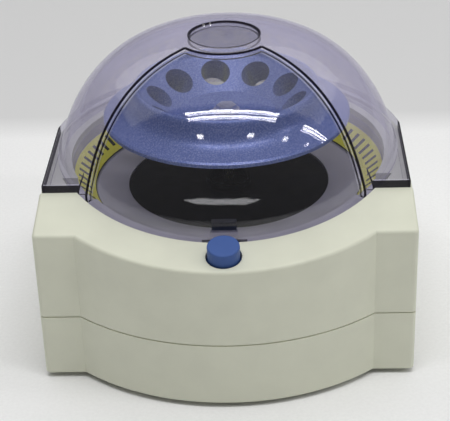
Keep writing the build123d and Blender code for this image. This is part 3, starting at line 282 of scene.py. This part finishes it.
# Circuit board. A fibre board with a green mask stands on four posts beside the motor, and
# carries a capacitor, a power transistor on its heat sink, a glass fuse and three headers.
mask_green = moulded(
    "mask_green", (0.03, 0.16, 0.07), rough=0.3, spread=0.15, depth=0.00001, cell=0.001)
dress(["circuit_board"], mask_green)
sleeve_blue = moulded("sleeve_blue", (0.03, 0.05, 0.14), rough=0.3)
dress(["board_capacitor"], sleeve_blue)
turned_aluminium = worked_metal("turned_aluminium", (0.75, 0.75, 0.77), rough=0.28)
dress(["heat_sink"], turned_aluminium)

glass_cell = 0.003
glass_tints = ((0.8, 0.88, 0.85), (0.9, 0.95, 0.93))
clear_tube, tree, skin = shader_of("clear_tube")
tree.links.new(tones(tree, grain(tree, glass_cell), *glass_tints), skin.inputs["Base Color"])
skin.inputs["Roughness"].default_value = 0.03
skin.inputs["IOR"].default_value = 1.5
skin.inputs["Alpha"].default_value = 0.35
dress(["fuse_glass", "reed_switch"], clear_tube)


# Power jack, rocker switch and wires. Both sit in the pan's rear wall, in hard black resin,
# and three pairs of red PVC wires run from them, from the motor and from the lid's sensor.
resin_black = moulded("resin_black", (0.02, 0.02, 0.02), rough=0.5, spread=0.2)
dress(["power_transistor", "switch_case", "switch_rocker", "power_jack"], resin_black)
nickel_nut = worked_metal("nickel_nut", (0.7, 0.7, 0.7), rough=0.2)
dress(["jack_nut"], nickel_nut)
lead_pvc = moulded("lead_pvc", (0.45, 0.03, 0.025), rough=0.4, spread=0.08)
dress(["motor_leads", "power_leads", "reed_leads"], lead_pvc)


# Rotor bowl and motor cover. The bowl is a grey ABS moulding screwed up under the deck, and
# a black moulded disc clips into its floor over the motor.
bowl_abs = moulded("bowl_abs", (0.50, 0.49, 0.515), rough=0.36, spread=0.06)
dress(["rotor_bowl"], bowl_abs)
cover_black = moulded("cover_black", (0.004, 0.004, 0.0045), rough=0.5, spread=0.2, shine=0.1)
dress(["motor_cover"], cover_black)


# Bowl band. A yellow film lies round the bowl's sloped wall, printed in black with a ring of
# plain ticks between two border lines.
film_yellow = (1.0, 0.93, 0.08)
film_black = (0.03, 0.03, 0.012)
tick_count = 72
tick_share = 0.38
tick_radii = (0.0505, 0.0545)
border_radii = (0.0487, 0.0559)


def sums(tree, operation, first, second=0.0):
    """One step of arithmetic on a value or two."""
    return node(tree, "Math", {0: first, 1: second}, operation=operation).outputs[0]


def axis_reach(tree, place):
    """Distance of a point from the rotor's upright axis."""
    squares = [sums(tree, "MULTIPLY", place[way], place[way]) for way in ("X", "Y")]
    return sums(tree, "SQRT", sums(tree, "ADD", *squares))


band_film = moulded("band_film", film_yellow, rough=0.4, spread=0.06)
tree = band_film.node_tree
skin = tree.nodes["Principled BSDF"]
place = place_in(tree)
reach = axis_reach(tree, place)
turns = sums(tree, "MULTIPLY", sums(tree, "ARCTAN2", place["Y"], place["X"]), tick_count / (2 * pi))
print_mask = sums(tree, "LESS_THAN", sums(tree, "FRACT", turns), tick_share)
for limit, way in zip(tick_radii, ("GREATER_THAN", "LESS_THAN")):
    print_mask = sums(tree, "MULTIPLY", print_mask, sums(tree, way, reach, limit))
for limit, way in zip(border_radii, ("LESS_THAN", "GREATER_THAN")):
    print_mask = sums(tree, "MAXIMUM", print_mask, sums(tree, way, reach, limit))
ground = skin.inputs["Base Color"].links[0].from_socket
tree.links.new(laid_over(tree, print_mask, ground, film_black), skin.inputs["Base Color"])
dress(["bowl_band"], band_film)


# Rotor. One blue moulding with a fine pearl speckle has ten sloped tube holes round a sunk
# centre, and a nut holds it on the shaft over a turned aluminium insert.
rotor_tone = (0.15, 0.22, 0.50)
pearl_tone = (0.38, 0.46, 0.74)
pearl_cell = 0.00045
pearl_limits = (0.42, 0.72)
rotor_gloss_cell = 0.003
rotor_gloss = (0.3, 0.42)
pearl_strength = 0.5
pearl_depth = 0.00001

rotor_pearl, tree, skin = shader_of("rotor_pearl")
speckle = grain(tree, pearl_cell, 2)
tree.links.new(tones(tree, speckle, rotor_tone, pearl_tone, *pearl_limits), skin.inputs["Base Color"])
tree.links.new(between(tree, grain(tree, rotor_gloss_cell, 3), *rotor_gloss), skin.inputs["Roughness"])
pearls = {"Strength": pearl_strength, "Distance": pearl_depth, "Height": speckle}
tree.links.new(node(tree, "Bump", pearls).outputs[0], skin.inputs["Normal"])
skin.inputs["Metallic"].default_value = 0.25
skin.inputs["Coat Weight"].default_value = 0.3
skin.inputs["Coat Roughness"].default_value = 0.12
dress(["rotor"], rotor_pearl)
dress(["rotor_hub"], turned_aluminium)
nut_steel = worked_metal("nut_steel", (0.80, 0.82, 0.88), rough=0.38, stretch=(1, 1, 1))
dress(["rotor_screw"], nut_steel)


# Lid. A smoke-tinted clear acrylic moulding, polished inside and out, darker where light runs
# along its wall. Its front window is a step lower than the dome and stays clear. Painted shade
# lines mark the window's step, the crown's recess, the flange's front lip and the flange's sides,
# with a painted highlight line just inside the step and the lip. The lid turns on a pin with two
# springs.
smoke_haze = (0.66, 0.63, 0.78)
haze_shades = (0.92, 1.08)
haze_cell = 0.02
haze_low = 0.09
haze_high = 0.26
haze_levels = (0.062, 0.092)
smoke_pass = (0.9, 0.895, 0.935)
smoke_depth = 22.0
smoke_keep = (0.35, 0.33, 0.52)
edge_power = 5.0
edge_share = 0.9
shadow_share = 0.15
polish = (0.02, 0.045)
dome_gloss = 2.3

window_angle = radians(51.0)
window_top = 0.0169
window_tone = (0.02, 0.02, 0.025)
window_share = 0.13
window_gloss = 3.6

crown_reach = 0.0124
crown_tone = (0.26, 0.25, 0.34)
flange_start = 0.0614
flange_front = -0.0348
flange_side = 0.0625
flange_tone = (0.36, 0.35, 0.40)

# Painted shade lines: their tone, share and gloss, and their half-widths at the step, the crown's recess
# and the front lip.
shade_line_tone = (0.012, 0.010, 0.018)
shade_line_share = 0.97
shade_line_gloss = 1.3
shade_step_half = 0.00042
shade_recess_half = 0.0005
shade_lip_half = 0.0004
shade_lip_start = 0.048
# Painted highlight lines: their tone, share, half-width and place just inside the step and the lip.
highlight_line_tone = (0.75, 0.75, 0.85)
highlight_share = 0.6
highlight_half = 0.0002
highlight_inset = 0.0009
highlight_start = 0.050


def near(tree, value, place, half, soft=0.3):
    """One within half a line's width of its place, soft at its border, and zero elsewhere."""
    away = sums(tree, "ABSOLUTE", sums(tree, "SUBTRACT", value, place))
    return between(tree, away, 1.0, 0.0, half * (1 - soft), half * (1 + soft))


def beyond(tree, value, place, soft=0.0001):
    """Zero below a place and one above it."""
    return between(tree, value, 0.0, 1.0, place - soft, place + soft)


def both(tree, *masks):
    """One where all the masks are."""
    whole = masks[0]
    for mask in masks[1:]:
        whole = sums(tree, "MULTIPLY", whole, mask)
    return whole


lid_acrylic, tree, skin = shader_of("lid_acrylic")
place = place_in(tree)
depth = place["Y"]
side = sums(tree, "ABSOLUTE", place["X"])
reach = axis_reach(tree, place)
slant = [sums(tree, "MULTIPLY", side, cos(window_angle)), sums(tree, "MULTIPLY", depth, sin(window_angle))]
across = sums(tree, "ADD", *slant)

under_crown = beyond(tree, reach, window_top)
inside = sums(tree, "SUBTRACT", 1.0, beyond(tree, across, 0.0))
in_window = both(tree, under_crown, inside)
in_front = beyond(tree, sums(tree, "MULTIPLY", depth, -1.0), 0.0)
in_crown = sums(tree, "SUBTRACT", 1.0, beyond(tree, reach, crown_reach))
on_flange = beyond(tree, reach, flange_start)

# Painted shade: lines along the window's step at its sides and top, round the crown's recess, along the
# flange's front lip, and over the flange's sides.
painted_shade_lines = (
    both(tree, near(tree, across, 0.0, shade_step_half), under_crown, in_front),
    both(tree, near(tree, reach, window_top, shade_step_half), inside),
    near(tree, reach, crown_reach, shade_recess_half),
    both(tree, near(tree, depth, flange_front, shade_lip_half), beyond(tree, side, shade_lip_start)),
    both(tree, beyond(tree, side, flange_side), beyond(tree, depth, flange_front)),
)
# dark is the painted shade: all the painted shade lines in one mask.
dark = 0.0
for line in painted_shade_lines:
    dark = sums(tree, "MAXIMUM", line, dark)
# Painted highlight: thin lines just inside the window's side steps and just behind the flange's front lip,
# on the front half.
highlight_step = both(tree, near(tree, across, -highlight_inset, highlight_half), under_crown)
highlight_place = flange_front + highlight_inset
highlight_lip = both(tree, near(tree, depth, highlight_place, highlight_half), beyond(tree, side, highlight_start))
painted_highlight = both(tree, sums(tree, "MAXIMUM", highlight_step, highlight_lip), in_front)

# Share of the light that the wall's surface keeps, and the rest goes through.
facing = node(tree, "LayerWeight", {"Blend": 0.5}).outputs["Facing"]
# More of the haze tone towards the dome's top: partly dust and haze on the acrylic, partly a painted
# reflection of the bright room.
haze_and_reflection = between(tree, place["Z"], haze_low, haze_high, *haze_levels)
least = either(tree, in_window, haze_and_reflection, window_share)
share = either(tree, sums(tree, "POWER", facing, edge_power), least, edge_share)
# The painted shade lines and painted highlight lines keep most of the light at the surface.
share = sums(tree, "MAXIMUM", share, sums(tree, "MULTIPLY", dark, shade_line_share))
share = sums(tree, "MAXIMUM", share, sums(tree, "MULTIPLY", painted_highlight, highlight_share))
shadow_ray = node(tree, "LightPath").outputs["Is Shadow Ray"]
share = sums(tree, "MULTIPLY", share, either(tree, shadow_ray, 1.0, shadow_share))

clouds = grain(tree, haze_cell, 3)
colour = tones(tree, clouds, *(shade(smoke_haze, f) for f in haze_shades))
# Own tones for the window, the flange and the crown, then the painted highlight and painted shade lines
# over them.
for mask, over in (
    (in_window, window_tone), (on_flange, flange_tone), (in_crown, crown_tone),
    (painted_highlight, highlight_line_tone), (dark, shade_line_tone),
):
    colour = laid_over(tree, mask, colour, over)
tree.links.new(colour, skin.inputs["Base Color"])
tree.links.new(between(tree, clouds, *polish), skin.inputs["Roughness"])
# The painted shade lines get little gloss, so they stay dark.
gloss = either(tree, dark, either(tree, in_window, dome_gloss, window_gloss), shade_line_gloss)
tree.links.new(gloss, skin.inputs["IOR"])

through = node(tree, "BsdfTransparent", {"Color": (*smoke_pass, 1)}).outputs[0]
wall = node(tree, "MixShader", {0: share, 1: through, 2: skin.outputs[0]}).outputs[0]
smoke = node(tree, "VolumeAbsorption", {"Color": (*smoke_keep, 1), "Density": smoke_depth}).outputs[0]
output = tree.nodes["Material Output"]
tree.links.new(wall, output.inputs["Surface"])
tree.links.new(smoke, output.inputs["Volume"])
dress(["lid_shell"], lid_acrylic)
dress(["lid_magnet"], ferrite)
spring_wire = worked_metal("spring_wire", (0.5, 0.5, 0.5), rough=0.3)
dress(["lid_springs", "latch_spring"], spring_wire)


# Release button. A blue moulded push button slides square to the fascia and tips the latch
# lever behind it.
button_abs = moulded("button_abs", (0.055, 0.11, 0.32), rough=0.45, spread=0.05, shine=0.2)
dress(["release_button"], button_abs)


# Screws. Zinc-plated steel pan-head screws hold the two shells, the bowl, the motor, its
# plate, the board and the latch bracket.
bright_zinc = worked_metal(
    "bright_zinc", (0.66, 0.66, 0.68), rough=0.3, stretch=(1, 1, 0.3), cell=0.0005)
dress([name for name in nodes if name.endswith("_screws")], bright_zinc)
